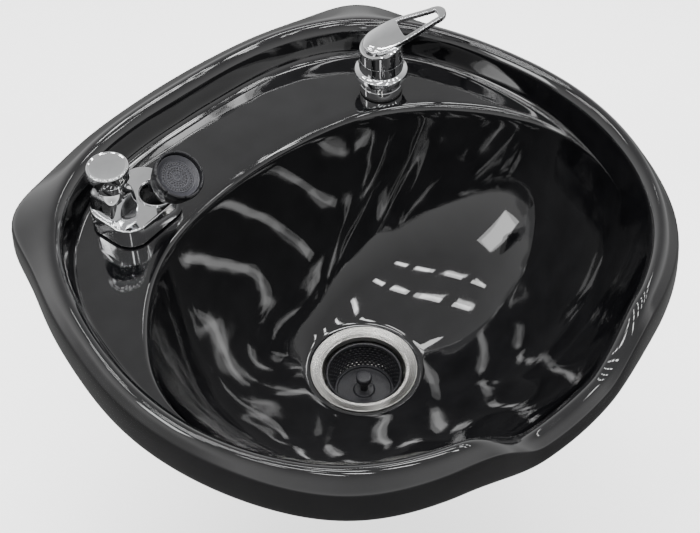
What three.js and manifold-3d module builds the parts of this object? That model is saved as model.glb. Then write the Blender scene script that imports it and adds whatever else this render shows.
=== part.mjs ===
import * as THREE from "three";
import { mergeVertices } from "three/addons/utils/BufferGeometryUtils.js";
import Module from "manifold-3d";

// Shampoo backwash unit: a gloss basin with a rear deck that carries a lever faucet, a vacuum
// breaker and a pull-out spray head, a basket strainer in the drain and a bracket on the wall.
// Millimetres, +Z up, +Y towards the wall. The origin is the centre of the bracket's rear face.

// ---------- driving dimensions ----------
const GAP = 0.3;                       // clearance between pieces that touch
const RIM_Z = 110;                     // crest of the rim
const DECK_Z = RIM_Z - 36;             // top of the rear deck
const DRAIN_Y = -305;                  // drain centre, in front of the wall
const SEAT_Z = RIM_Z - 234;            // flat ring that the drain flange rests on
const WALL = 5;                        // thickness of the basin's shell
const SKIRT_DROP = 50;                 // crest to the bottom of the skirt
const NECK_DROP = 42;                  // depth of the neck rest below the crest
const UNDER_DECK = DECK_Z - WALL;

const FAUCET = { x: 169, y: -157.5 };
const LEVER_TURN = -25;                // degrees from +X towards +Y that the lever points
const LEVER_RISE = 15;                 // degrees that the lever rises at rest
const PLATE = { x: -132, y: -124, width: 83, depth: 66, corner: 21, turn: 8 };
const PLATE_Z = DECK_Z + 24.5;         // top of the breaker's base plate
const HUB = { x: -152, y: -117 };
const WELL = { x: -111.5, y: -132.5 }; // mouth of the spray holder in the plate
const SPRAY = {
  x: -112, y: -138, z: PLATE_Z - 2.5, lean: new THREE.Vector3(0.119, -0.511, 0.851).normalize(),
};
const BRACKET = { width: 220, height: 60, reach: 50, thick: 4 };

const ROUND = 24;                      // sides of a turned piece

// ---------- materials ----------
const matter = (color, roughness, metalness) =>
  new THREE.MeshStandardMaterial({ color, roughness, metalness });
const gloss = matter(0x101113, 0.08, 0);
const chrome = matter(0xd8dade, 0.08, 1);
const steel = matter(0xb9bbbd, 0.32, 1);
const brass = matter(0xb8965a, 0.35, 1);
const copper = matter(0xb87350, 0.35, 1);
const rubber = matter(0x17181a, 0.8, 0);
const plastic = matter(0x1c1d20, 0.4, 0);
const acetal = matter(0xd9d6cc, 0.5, 0);
const ceramic = matter(0xf0eee8, 0.2, 0);
const fibre = matter(0x9c4a34, 0.8, 0);
const timber = matter(0xb28a5c, 0.75, 0);
const zinc = matter(0x9a9da0, 0.45, 1);

// ---------- solids ----------
const wasm = await Module();
wasm.setup();

/** A manifold-3d solid of a closed three.js geometry. */
function solid(geometry) {
  const bare = geometry.index ? geometry.toNonIndexed() : geometry.clone();
  bare.deleteAttribute("normal");
  bare.deleteAttribute("uv");
  const merged = mergeVertices(bare, 1e-4);
  const mesh = new wasm.Mesh({
    numProp: 3,
    vertProperties: new Float32Array(merged.attributes.position.array),
    triVerts: new Uint32Array(merged.index.array),
  });
  return new wasm.Manifold(mesh);
}

/** The three.js geometry of a manifold-3d solid. */
function geometryOf(body) {
  const mesh = body.getMesh();
  const geometry = new THREE.BufferGeometry();
  geometry.setAttribute("position", new THREE.BufferAttribute(mesh.vertProperties, 3));
  geometry.setIndex(new THREE.BufferAttribute(mesh.triVerts, 1));
  return geometry;
}

/** A geometry with other geometries cut out of it. */
function cut(geometry, ...tools) {
  return geometryOf(tools.reduce((body, tool) => body.subtract(solid(tool)), solid(geometry)));
}

/** Two or more overlapping geometries joined into one. */
function join(first, ...others) {
  return geometryOf(others.reduce((body, other) => body.add(solid(other)), solid(first)));
}

/** A solid of revolution about Z. The [radius, height] outline runs anticlockwise. */
function turned(outline, sides = ROUND) {
  const points = outline.map(([r, z]) => new THREE.Vector2(r, z));
  if (outline[0][0] > 0) points.push(points[0].clone());
  return new THREE.LatheGeometry(points, sides).rotateX(Math.PI / 2);
}

/** A plain ring or washer about Z. */
const ring = (inner, outer, low, high, sides = ROUND) =>
  turned([[inner, low], [outer, low], [outer, high], [inner, high]], sides);

/** A plain rod about Z. */
const rod = (radius, low, high, sides = ROUND) =>
  turned([[0, low], [radius, low], [radius, high], [0, high]], sides);

/** A hexagonal nut about Z, with a round hole. */
function nut(hole, acrossFlats, low, high) {
  const block = rod(acrossFlats / Math.sqrt(3), low, high, 6);
  return cut(block, rod(hole, low - 1, high + 1, 20));
}

/** A prism of a shape, from height low to height high. */
function prism(shape, low, high, curveSegments = 6) {
  const options = { depth: high - low, bevelEnabled: false, curveSegments };
  return new THREE.ExtrudeGeometry(shape, options).translate(0, 0, low);
}

/** A rectangle with round corners, centred on the origin. */
function roundedRectangle(width, depth, radius) {
  const [x, y] = [width / 2, depth / 2];
  const shape = new THREE.Shape();
  shape.moveTo(-x + radius, -y);
  shape.absarc(x - radius, -y + radius, radius, -Math.PI / 2, 0);
  shape.absarc(x - radius, y - radius, radius, 0, Math.PI / 2);
  shape.absarc(-x + radius, y - radius, radius, Math.PI / 2, Math.PI);
  shape.absarc(-x + radius, -y + radius, radius, Math.PI, 1.5 * Math.PI);
  return shape;
}

/** A closed skin over rings of points, each ring running anticlockwise seen from the last one. */
function loft(rings) {
  const count = rings[0].length;
  const positions = rings.flat().flatMap((p) => [p.x, p.y, p.z]);
  const index = [];
  for (let row = 0; row + 1 < rings.length; row += 1) {
    for (let i = 0; i < count; i += 1) {
      const a = row * count + i;
      const b = row * count + (i + 1) % count;
      index.push(a, b, b + count, a, b + count, a + count);
    }
  }
  const last = (rings.length - 1) * count;
  for (let i = 1; i + 1 < count; i += 1) {
    index.push(0, i + 1, i);
    index.push(last, last + i, last + i + 1);
  }
  const geometry = new THREE.BufferGeometry();
  geometry.setAttribute("position", new THREE.Float32BufferAttribute(positions, 3));
  geometry.setIndex(index);
  return geometry;
}

/** A round bar along a curve. */
function tube(points, radius, steps) {
  const section = new THREE.Shape().absarc(0, 0, radius, 0, 2 * Math.PI);
  const extrudePath = new THREE.CatmullRomCurve3(points);
  return new THREE.ExtrudeGeometry(section, { extrudePath, steps, curveSegments: 4 });
}

// ---------- assembly ----------
const unit = new THREE.Group();

/** Names a piece and puts it in a group. */
function add(name, geometry, material, group = unit) {
  const mesh = new THREE.Mesh(geometry, material);
  mesh.name = name;
  group.add(mesh);
  return mesh;
}

/** A group whose origin is a place on the unit. */
function place(x, y, z = 0, turn = 0) {
  const group = new THREE.Group();
  group.position.set(x, y, z);
  group.rotation.z = THREE.MathUtils.degToRad(turn);
  unit.add(group);
  return group;
}

// ---------- basin ----------
// Plan curves are radii about the drain every 15 degrees, from the wall side round to the neck.
// They are the control values of a uniform cubic spline, and both sides of the basin are alike.
const CURVE_STEP = 15;
const OUTLINE = [296, 302, 322, 322, 312, 298, 300, 300, 303, 309, 295, 283, 282];
const CREST = [266, 275, 291, 297, 288, 280, 282, 285, 286, 286, 276, 268, 264];
const FOOT = [248, 257, 272, 281, 277, 266, 264, 264, 266, 266, 258, 250, 243];
const DECK_WIDTH = [98, 104, 109, 98, 74, 42, 11, 0, 0, 0, 0, 0, 0];
const FLOOR = [128, 132, 142, 155, 172, 190, 205, 215, 218, 218, 212, 200, 194];
const FLOOR_DROP = [197, 197, 196, 194, 192, 189, 186, 183, 182, 182, 184, 187, 188];
const CORNER = { angle: 43, reach: 24, spread: 8 };

/** The value at an angle of a spline given by its control values. */
function onCurve(values, degrees) {
  const place = Math.abs(degrees) / CURVE_STEP;
  const first = Math.floor(place);
  const t = place - first;
  const weights = [(1 - t) ** 3, 3 * t ** 3 - 6 * t ** 2 + 4, -3 * t ** 3 + 3 * t ** 2 + 3 * t + 1, t ** 3];
  const end = values.length - 1;
  const mirrored = (i) => (Math.abs(i) > end ? 2 * end - Math.abs(i) : Math.abs(i));
  return weights.reduce((sum, weight, k) => sum + weight * values[mirrored(first - 1 + k)], 0) / 6;
}

const mix = (a, b, t) => [a[0] + (b[0] - a[0]) * t, a[1] + (b[1] - a[1]) * t];
const BOWL_STEPS = [0.14, 0.27, 0.39, 0.5, 0.6, 0.7, 0.79, 0.88, 0.955];

/** Control points [radius, drop below the crest] of the basin's section, drain to skirt. */
function section(degrees) {
  const angle = Math.abs(degrees);
  const corner = Math.exp(-(((angle - CORNER.angle) / CORNER.spread) ** 2));
  const outer = onCurve(OUTLINE, angle) + CORNER.reach * corner;
  const crest = onCurve(CREST, angle);
  const foot = onCurve(FOOT, angle);
  const width = onCurve(DECK_WIDTH, angle);
  const neck = THREE.MathUtils.smoothstep(angle, 154, 171);
  const crestZ = -NECK_DROP * neck;
  const deckZ = DECK_Z - RIM_Z - 34 * neck;
  const seatZ = SEAT_Z - RIM_Z;
  const seatEdge = [67, seatZ + 2];
  const floor = [onCurve(FLOOR, angle), -onCurve(FLOOR_DROP, angle)];
  const lip = [foot - width, deckZ];
  const bowl = (t) => mix(mix(seatEdge, floor, t), mix(floor, lip, t), t);
  const footPoint = [foot, deckZ];
  const ledge = [crest - 9, crestZ - 5];
  const brow = [crest + 4, crestZ + 1];
  const shoulder = [outer - 3.5, -14 + 0.9 * (crestZ + 2) * neck];
  const bottomZ = -SKIRT_DROP - 18 * neck;
  return [
    [47, seatZ], [50, seatZ], [57, seatZ], [62, seatZ], seatEdge,
    ...BOWL_STEPS.map(bowl), lip,
    [lip[0] + Math.min(10, width * 0.3), deckZ], [lip[0] + width / 2, deckZ],
    [foot - Math.min(8, width * 0.3), deckZ], footPoint,
    mix(footPoint, ledge, 0.35), mix(footPoint, ledge, 0.8), ledge,
    [crest - 3, crestZ + 1.5], brow, mix(brow, shoulder, 0.5), mix(brow, shoulder, 0.85), shoulder,
    [outer - 2, shoulder[1] - 7], [outer - 1, (shoulder[1] + bottomZ) / 2], [outer, bottomZ],
  ];
}

/** The sections' angles, closer together round the neck. */
function sectionAngles() {
  const half = [];
  for (let angle = 0; angle < 150; angle += 5) half.push(angle);
  for (let angle = 150; angle <= 180; angle += 2.5) half.push(angle);
  return [...half, ...half.slice(1, -1).reverse().map((angle) => -angle)];
}

/** Points of the smooth surface, one row for each angle. */
function basinSurface() {
  const cage = sectionAngles().map((degrees) => {
    const angle = THREE.MathUtils.degToRad(degrees);
    return section(degrees).map(([r, z]) =>
      new THREE.Vector3(r * Math.sin(angle), DRAIN_Y + r * Math.cos(angle), RIM_Z + z));
  });
  const blend = (a, b, c) => a.clone().add(c).addScaledVector(b, 4).divideScalar(6);
  const count = cage.length;
  const around = cage.map((row, i) =>
    row.map((point, j) => blend(cage[(i + count - 1) % count][j], point, cage[(i + 1) % count][j])));
  return around.map((row) => row.map((point, j) =>
    (j > 0 && j + 1 < row.length ? blend(row[j - 1], point, row[j + 1]) : point)));
}

/** The basin's shell: the surface, the same surface one wall lower, and the two edges. */
function basinShell() {
  const surface = basinSurface();
  const count = surface.length;
  const rows = surface[0].length;
  const under = surface.map((row, i) => row.map((point, j) => {
    const along = row[Math.min(j + 1, rows - 1)].clone().sub(row[Math.max(j - 1, 0)]);
    const around = surface[(i + 1) % count][j].clone().sub(surface[(i + count - 1) % count][j]);
    return point.clone().addScaledVector(along.cross(around).normalize(), WALL);
  }));
  const kept = [0, 2, 4, 6, 8, 10, 12, 14, 15, 17, 18, 20, 22, 23, 25, 26, 27, rows - 1];
  const rings = [];
  for (let i = 0; i < count; i += 2) {
    rings.push([...kept.map((j) => surface[i][j]), ...kept.map((j) => under[i][j]).reverse()]);
  }
  return closedLoop(rings);
}

/** A closed skin round a loop of rings, such as a torus. */
function closedLoop(rings) {
  const count = rings[0].length;
  const index = [];
  for (let row = 0; row < rings.length; row += 1) {
    const next = (row + 1) % rings.length;
    for (let i = 0; i < count; i += 1) {
      const a = row * count + i;
      const b = row * count + (i + 1) % count;
      const c = next * count + (i + 1) % count;
      const d = next * count + i;
      index.push(a, c, b, a, d, c);
    }
  }
  const geometry = new THREE.BufferGeometry();
  const positions = rings.flat().flatMap((p) => [p.x, p.y, p.z]);
  geometry.setAttribute("position", new THREE.Float32BufferAttribute(positions, 3));
  geometry.setIndex(index);
  return geometry;
}

const FAUCET_HOLE = 17;
const INLET_HOLE = 8.5;
const OUTLET = { x: -147, y: -147 };
const SPRAY_HOLE = { x: -115.5, y: -123.5, radius: 15 };

function addBasin() {
  const drill = (x, y, radius) => rod(radius, UNDER_DECK - 8, DECK_Z + 8, 20).translate(x, y, 0);
  const shell = cut(
    basinShell(),
    drill(FAUCET.x, FAUCET.y, FAUCET_HOLE),
    drill(HUB.x, HUB.y, INLET_HOLE),
    drill(OUTLET.x, OUTLET.y, INLET_HOLE),
    drill(SPRAY_HOLE.x, SPRAY_HOLE.y, SPRAY_HOLE.radius),
  );
  add("bowl_shell", shell, gloss);
}

// ---------- wall fixing ----------
const BOARD = { width: 210, back: -23, front: -49 };
const SCREW_XS = [-80, 0, 80];
const SCREW_Y = (BOARD.back + BOARD.front) / 2;

function addWallFixing() {
  const top = BRACKET.height / 2;
  const boardLow = top + GAP;
  const boardHigh = UNDER_DECK - GAP;
  const boardDepth = BOARD.back - BOARD.front;
  const board = new THREE.BoxGeometry(BOARD.width, boardDepth, boardHigh - boardLow)
    .translate(0, SCREW_Y, (boardLow + boardHigh) / 2);
  const pilots = SCREW_XS.map((x) => rod(3.3, boardLow - 1, boardLow + 30, 12).translate(x, SCREW_Y, 0));
  add("backing_board", cut(board, ...pilots), timber);

  const angle = new THREE.Shape();
  angle.moveTo(0, -top);
  angle.lineTo(0, top);
  angle.lineTo(-BRACKET.reach, top);
  angle.lineTo(-BRACKET.reach, top - BRACKET.thick);
  angle.lineTo(-BRACKET.thick, top - BRACKET.thick);
  angle.lineTo(-BRACKET.thick, -top);
  const bar = prism(angle, -BRACKET.width / 2, BRACKET.width / 2)
    .applyMatrix4(new THREE.Matrix4().set(0, 0, 1, 0, 1, 0, 0, 0, 0, 1, 0, 0, 0, 0, 0, 1));
  const holes = SCREW_XS.map((x) => rod(3.5, 0, top + 5, 12).translate(x, SCREW_Y, 0));
  const wallHoles = [-75, 75].map((x) =>
    rod(4, -10, 10, 12).rotateX(Math.PI / 2).translate(x, 0, -6));
  add("wall_bracket", cut(bar, ...holes, ...wallHoles), zinc);

  SCREW_XS.forEach((x, i) => {
    const headTop = top - BRACKET.thick - GAP;
    const screw = join(rod(6.5, headTop - 5, headTop, 6), rod(3, headTop - 1, boardLow + 28, 12));
    add(`bracket_screw_${i + 1}`, screw.translate(x, SCREW_Y, 0), zinc);
  });
}

// ---------- drain ----------
function addDrain() {
  const drain = place(0, DRAIN_Y, SEAT_Z);
  const under = -WALL - GAP;
  add("strainer_body", turned([
    [19, -78], [22, -78], [22, -54], [45.5, -46], [45.5, 0.5], [57.15, 0.5], [56.5, 2],
    [52, 2.6], [44, -2], [42.5, -8], [42.5, -41], [19, -49],
  ], 28), steel, drain);
  add("drain_gasket", ring(46, 58, under - 3, under), rubber, drain);
  add("friction_washer", ring(46, 59, under - 4.3, under - 3 - GAP), fibre, drain);
  add("strainer_locknut", cut(
    rod(62, under - 16, under - 4.6, 8), rod(46, under - 20, under + 5, 28)), brass, drain);
  add("tailpiece", turned([
    [17.5, -190], [18.7, -190], [18.7, -81.5], [21.5, -81.5], [21.5, -80], [17.5, -80],
  ]), chrome, drain);
  add("tail_washer", ring(18.8, 21.6, -79.7, -78.3), rubber, drain);
  add("slip_nut", cut(
    rod(28, -88, -68, 12), rod(22.3, -82, -60), rod(19, -90, -80)), chrome, drain);
}

const BASKET_FLOOR = -38;

function addBasket() {
  const drain = place(0, DRAIN_Y, SEAT_Z);
  add("strainer_basket", turned([
    [4.3, BASKET_FLOOR], [33, BASKET_FLOOR], [38.5, -9], [40.8, -7.5], [40.8, -6],
    [37, -6], [31.4, BASKET_FLOOR + 2], [4.3, BASKET_FLOOR + 2],
  ]), plastic, drain);
  add("basket_seal", ring(21, 28, BASKET_FLOOR - 3.5, BASKET_FLOOR - GAP, 24), rubber, drain);
  add("basket_knob", turned([
    [0, BASKET_FLOOR - 6], [4, BASKET_FLOOR - 6], [4, BASKET_FLOOR + 8], [5, BASKET_FLOOR + 16],
    [8.5, BASKET_FLOOR + 19], [8.5, BASKET_FLOOR + 24], [7, BASKET_FLOOR + 26], [0, BASKET_FLOOR + 26],
  ], 20), plastic, drain);
}

// ---------- faucet ----------
const RISER = 20.5;                    // height of the ring under the faucet's flange
const PIVOT = 44;                      // seam between the faucet's body and its turning cap
const CAP_R = 22.7;
const CAP_PLANE = 19;                  // the cap's sloping top, along the lever's own normal
const LEVER_BASE = CAP_PLANE + GAP;

function addFaucetBody() {
  const faucet = place(FAUCET.x, FAUCET.y, DECK_Z);
  add("faucet_gasket", ring(15.6, 22.5, GAP, 1.7, 24), rubber, faucet);
  add("faucet_escutcheon", turned([
    [15.6, 2], [22, 2], [22.4, 3], [22.4, RISER], [15.6, RISER],
  ], 28), chrome, faucet);
  add("faucet_body", turned([
    [15.6, RISER + GAP], [27.4, RISER + GAP], [28, RISER + 1.5], [28, RISER + 8], [23.2, RISER + 10.5],
    [22.7, RISER + 11], [22.7, PIVOT - 0.5], [17.3, PIVOT - 0.5], [17.3, PIVOT - 14], [15.6, PIVOT - 14],
  ], 28), chrome, faucet);
  add("cartridge_body", rod(15, PIVOT - 13.2, PIVOT - 8, 24), acetal, faucet);
  add("cartridge_nut", ring(12.6, 16.9, PIVOT - 7.7, PIVOT - 2.6, 24), brass, faucet);
  add("fixed_disc", rod(11.5, PIVOT - 7.7, PIVOT - 5.6, 24), ceramic, faucet);
}

function addFaucetShank() {
  const faucet = place(FAUCET.x, FAUCET.y, DECK_Z);
  const under = -WALL - GAP;
  const top = PIVOT - 13.6;
  add("faucet_shank", turned([
    [11.8, -42], [15, -42], [15, top - 0.8], [14, top], [0, top], [0, top - 5], [11.8, top - 5],
  ], 24), brass, faucet);
  add("shank_washer", ring(15.5, 23.5, under - 1.6, under, 24), zinc, faucet);
  add("shank_nut", nut(15.5, 40, under - 12, under - 2), brass, faucet);
}

/** The frame that the lever, its stem and its disc are drawn in: +X along the lever. */
function leverFrame(tilt) {
  const frame = place(FAUCET.x, FAUCET.y, DECK_Z + PIVOT, LEVER_TURN);
  const tilted = new THREE.Group();
  tilted.rotation.y = -THREE.MathUtils.degToRad(tilt);
  frame.add(tilted);
  return tilted;
}

/** A block that fills everything above the lever's plane at a height along its normal. */
function slope(height) {
  const block = new THREE.BoxGeometry(120, 120, 60).translate(0, 0, height + 30);
  return block.rotateY(-THREE.MathUtils.degToRad(LEVER_RISE));
}

function addFaucetDome() {
  const hollow = cut(rod(CAP_R - 3, -1, 40, 28), slope(CAP_PLANE - 3));
  const slot = new THREE.BoxGeometry(17, 10.6, 20).translate(2.5, 0, CAP_PLANE - 5)
    .rotateY(-THREE.MathUtils.degToRad(LEVER_RISE));
  add("faucet_dome", cut(rod(CAP_R, -0.2, 40, 28), slope(CAP_PLANE), hollow, slot), chrome,
    leverFrame(0));
}

/** Half the lever's width at a distance along it. */
const leverHalfWidth = (x) => 9 + 9.5 * (1 - THREE.MathUtils.smoothstep(x, 15, 80));

const LEVER_TIP = 79;
const LEVER_HEEL = 4.5;                // centre of the round heel over the cap
const LOOP = { start: 28, end: 71, rail: 4.5 };

/** The lever's outline seen along its own normal, with its long loop. */
function leverShape() {
  const stations = [LEVER_HEEL, 20, 32, 44, 56, 68];
  const shape = new THREE.Shape();
  stations.forEach((x) => shape.lineTo(x, -leverHalfWidth(x)));
  shape.absarc(LEVER_TIP - 9, 0, 9, -Math.PI / 2, Math.PI / 2);
  [...stations].reverse().forEach((x) => shape.lineTo(x, leverHalfWidth(x)));
  shape.absarc(LEVER_HEEL, 0, leverHalfWidth(LEVER_HEEL), Math.PI / 2, Math.PI * 1.5);
  const loop = new THREE.Path();
  const sides = [LOOP.start, 40, 53, LOOP.end];
  sides.forEach((x) => loop.lineTo(x, leverHalfWidth(x) - LOOP.rail));
  [...sides].reverse().forEach((x) => loop.lineTo(x, LOOP.rail - leverHalfWidth(x)));
  loop.curves.shift();
  shape.curves.shift();
  shape.holes.push(loop);
  return shape;
}

function addLever() {
  const frame = leverFrame(LEVER_RISE);
  add("lever", prism(leverShape(), LEVER_BASE, LEVER_BASE + 6, 10), chrome, frame);
  add("lever_stem", turned([
    [0, 2.5], [4, 2.5], [4, CAP_PLANE - 0.5], [3.5, CAP_PLANE], [0, CAP_PLANE],
  ], 12), steel, frame);
}

function addMovingDisc() {
  add("moving_disc", rod(9, -5.3, -3.2, 24), ceramic, leverFrame(0));
}

/** A supply tail: a copper tube with a union on its lower end. */
function addSupply(name, side, length) {
  const supply = place(FAUCET.x + side * 6.4, FAUCET.y - 3, DECK_Z);
  const end = -length;
  add(`${name}_tail`, rod(4.5, end, PIVOT - 19.5, 12), copper, supply);
  add(`${name}_union`, cut(
    rod(6.9, end - 16, end + 4, 6), rod(4.8, end - GAP, end + 5, 12),
    rod(4, end - 20, end - 8, 12)), brass, supply);
}

// ---------- crossover ----------
const OUTLET_TAIL = { x: FAUCET.x, y: FAUCET.y + 6.4 };
const BREAKER_TAIL_Z = UNDER_DECK - 34;

/** The mixed-water tube from the faucet round the back of the basin to the breaker. */
function addCrossover() {
  const low = UNDER_DECK - 75;
  const bend = 22;
  const corner = (x, y, toward) => [
    new THREE.Vector3(x, y, low + bend),
    new THREE.Vector3(x + toward * bend * 0.29, y, low + bend * 0.29),
    new THREE.Vector3(x + toward * bend, y, low),
  ];
  const route = [
    new THREE.Vector3(OUTLET_TAIL.x, OUTLET_TAIL.y, DECK_Z + PIVOT - 20),
    new THREE.Vector3(OUTLET_TAIL.x, OUTLET_TAIL.y, UNDER_DECK - 25),
    ...corner(OUTLET_TAIL.x, OUTLET_TAIL.y, -1),
    new THREE.Vector3((OUTLET_TAIL.x + HUB.x) / 2, (OUTLET_TAIL.y + HUB.y) / 2, low),
    ...corner(HUB.x, HUB.y, 1).reverse(),
    new THREE.Vector3(HUB.x, HUB.y, BREAKER_TAIL_Z - 6),
  ];
  add("crossover_tube", tube(route, 4.2, 30), copper);
  const nutTop = BREAKER_TAIL_Z + 8;
  add("crossover_nut", cut(
    rod(10.5, nutTop - 22, nutTop, 6), rod(7.8, BREAKER_TAIL_Z - 2, nutTop + 2, 20),
    rod(4.8, nutTop - 30, nutTop, 20)), brass, place(HUB.x, HUB.y));
}

// ---------- vacuum breaker ----------
const HUB_H = 38;                      // height of the breaker's hub above the plate

function addBasePlate() {
  const plate = place(PLATE.x, PLATE.y, 0, PLATE.turn);
  const outline = roundedRectangle(PLATE.width, PLATE.depth, PLATE.corner);
  const inset = roundedRectangle(PLATE.width - 5, PLATE.depth - 5, PLATE.corner - 2.5);
  const toPlate = (geometry, x, y) => geometry.translate(x - PLATE.x, y - PLATE.y, 0)
    .rotateZ(-THREE.MathUtils.degToRad(PLATE.turn));
  const bores = () => [
    toPlate(rod(7.7, 40, 120, 16), HUB.x, HUB.y),
    toPlate(rod(7.7, 40, PLATE_Z - 8, 16), OUTLET.x, OUTLET.y),
    toPlate(rod(17.8, PLATE_Z - 14.5, PLATE_Z + 5, 24), WELL.x, WELL.y),
    toPlate(alongSpray(rod(12.5, -60, 0, 24)), 0, 0),
  ];
  add("base_gasket", cut(prism(inset, DECK_Z + GAP, DECK_Z + 1.7), ...bores()), rubber, plate);
  add("base_plate", cut(prism(outline, DECK_Z + 2, PLATE_Z), ...bores()), chrome, plate);
}

/** A ring of points on a blend of a rounded square and a circle. */
function hubRing(half, corner, z) {
  const points = [];
  for (let quarter = 0; quarter < 4; quarter += 1) {
    for (let step = 0; step <= 5; step += 1) {
      const angle = (quarter + step / 5) * Math.PI / 2;
      const inset = half - corner;
      const x = (quarter === 0 || quarter === 3 ? inset : -inset) + corner * Math.cos(angle);
      const y = (quarter < 2 ? inset : -inset) + corner * Math.sin(angle);
      points.push(new THREE.Vector3(x, y, z));
    }
  }
  return points;
}

function addBreaker() {
  const breaker = place(HUB.x, HUB.y, PLATE_Z, PLATE.turn);
  const hub = loft([
    hubRing(17.8, 6, GAP), hubRing(17.8, 6, 2), hubRing(16.2, 7.5, 21), hubRing(14.6, 14, 27),
    hubRing(14, 13.9, HUB_H),
  ]);
  const bore = turned([
    [0, -1], [6, -1], [6, HUB_H - 16], [11, HUB_H - 16], [11, HUB_H + 1], [0, HUB_H + 1],
  ], 24);
  add("breaker_hub", cut(hub, bore), chrome, breaker);
  add("breaker_seat", ring(6.5, 10.8, HUB_H - 15.7, HUB_H - 14, 24), rubber, breaker);
  add("breaker_cap", turned([
    [0, HUB_H - 10], [3, HUB_H - 10], [3, HUB_H - 1], [10.6, HUB_H - 1], [10.6, HUB_H + 1.5],
    [19.5, HUB_H + 1.5], [20.5, HUB_H + 2.5], [20.5, HUB_H + 14], [19.6, HUB_H + 15.2],
    [18.4, HUB_H + 15.5], [17, HUB_H + 15], [0, HUB_H + 15],
  ], 28), chrome, breaker);
  add("breaker_poppet", turned([
    [3.3, HUB_H - 13.7], [9.5, HUB_H - 13.7], [9.5, HUB_H - 11.2], [5, HUB_H - 9], [3.3, HUB_H - 9],
  ], 24), acetal, breaker);
}

/** A threaded shank through the deck with its washer and nut. */
function addShank(name, x, y, top) {
  const shank = place(x, y);
  add(`${name}_shank`, ring(4.6, 7.4, BREAKER_TAIL_Z, top, 16), brass, shank);
  add(`${name}_washer`, ring(7.7, 13, UNDER_DECK - GAP - 1.5, UNDER_DECK - GAP, 20), zinc, shank);
  add(`${name}_nut`, nut(7.7, 21, UNDER_DECK - GAP - 9, UNDER_DECK - GAP - 1.8), brass, shank);
}

// ---------- spray head ----------
/** Turns a piece drawn about Z so that it stands along the spray holder's leaning axis. */
function alongSpray(geometry) {
  const turn = new THREE.Quaternion().setFromUnitVectors(new THREE.Vector3(0, 0, 1), SPRAY.lean);
  return geometry.applyQuaternion(turn).translate(SPRAY.x, SPRAY.y, SPRAY.z);
}

const BELL_R = 25;
const FACE_S = 57;                     // distance along the axis from the holder to the bezel's front

function addSpray() {
  add("spray_holder", turned([
    [15.5, -14], [17.5, -14], [17.5, GAP], [19.3, GAP], [19.3, 1], [18.6, 1.6], [15.5, -5],
  ]), chrome, place(WELL.x, WELL.y, PLATE_Z));
  add("spray_neck", alongSpray(ring(5.2, 7.5, -46, 12.5, 20)), plastic);
  add("hose_ferrule", alongSpray(turned([
    [5.2, -74], [6.6, -74], [8.4, -70], [8.4, -46.3], [5.2, -46.3],
  ], 20)), chrome);
  add("spray_bell", alongSpray(turned([
    [0, 12.8], [11.5, 12.8], [14, 20], [22, 32], [BELL_R - 0.6, 37], [BELL_R - 0.6, 48],
    [21.5, 48], [21.5, 40], [0, 40],
  ], 32)), plastic);
  add("spray_face", alongSpray(rod(21.2, 40.3, 50, 32)), plastic);
  const notch = new THREE.CylinderGeometry(1.3, 1.3, 12, 8).rotateX(Math.PI / 2);
  const notches = Array.from({ length: 8 }, (_, i) => {
    const angle = (i + 0.5) * Math.PI / 4;
    return notch.clone().translate(BELL_R * Math.cos(angle), BELL_R * Math.sin(angle), FACE_S - 2);
  });
  add("spray_bezel", alongSpray(cut(turned([
    [21.5, 48.3], [BELL_R, 48.3], [BELL_R, FACE_S - 1.5], [BELL_R - 1.5, FACE_S], [22.4, FACE_S],
    [21.5, FACE_S - 2],
  ], 32), ...notches)), plastic);
}

addBasin();
addWallFixing();
addDrain();
addBasket();
addFaucetBody();
addFaucetShank();
addFaucetDome();
addLever();
addMovingDisc();
addSupply("hot", -1, 146);
addSupply("cold", 1, 172);
addCrossover();
addBasePlate();
addBreaker();
addShank("inlet", HUB.x, HUB.y, PLATE_Z - 0.5);
addShank("outlet", OUTLET.x, OUTLET.y, PLATE_Z - 8.5);
addSpray();

export default unit;
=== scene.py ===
"""Looks of the shampoo backwash unit: gloss, chrome and plastic surfaces over the CAD frame."""

import math

import bmesh
import bpy
from mathutils import Matrix, Vector


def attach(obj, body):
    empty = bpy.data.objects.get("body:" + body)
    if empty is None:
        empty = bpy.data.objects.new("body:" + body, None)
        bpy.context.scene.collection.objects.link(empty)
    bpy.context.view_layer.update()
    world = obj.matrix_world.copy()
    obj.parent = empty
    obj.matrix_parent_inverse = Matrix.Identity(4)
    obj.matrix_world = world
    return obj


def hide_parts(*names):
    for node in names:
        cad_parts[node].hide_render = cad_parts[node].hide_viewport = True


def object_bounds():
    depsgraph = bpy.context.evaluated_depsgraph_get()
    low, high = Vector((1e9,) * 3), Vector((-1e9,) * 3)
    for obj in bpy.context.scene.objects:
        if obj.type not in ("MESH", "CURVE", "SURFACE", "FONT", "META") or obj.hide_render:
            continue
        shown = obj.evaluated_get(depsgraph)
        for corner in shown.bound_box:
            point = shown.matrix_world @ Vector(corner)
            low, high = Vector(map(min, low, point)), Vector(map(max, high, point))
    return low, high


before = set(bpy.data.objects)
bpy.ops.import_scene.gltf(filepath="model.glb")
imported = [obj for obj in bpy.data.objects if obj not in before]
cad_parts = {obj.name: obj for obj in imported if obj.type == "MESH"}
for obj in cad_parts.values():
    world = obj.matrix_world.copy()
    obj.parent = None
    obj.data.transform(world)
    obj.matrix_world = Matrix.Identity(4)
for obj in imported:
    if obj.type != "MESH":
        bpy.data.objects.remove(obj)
cad_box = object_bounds()

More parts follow.
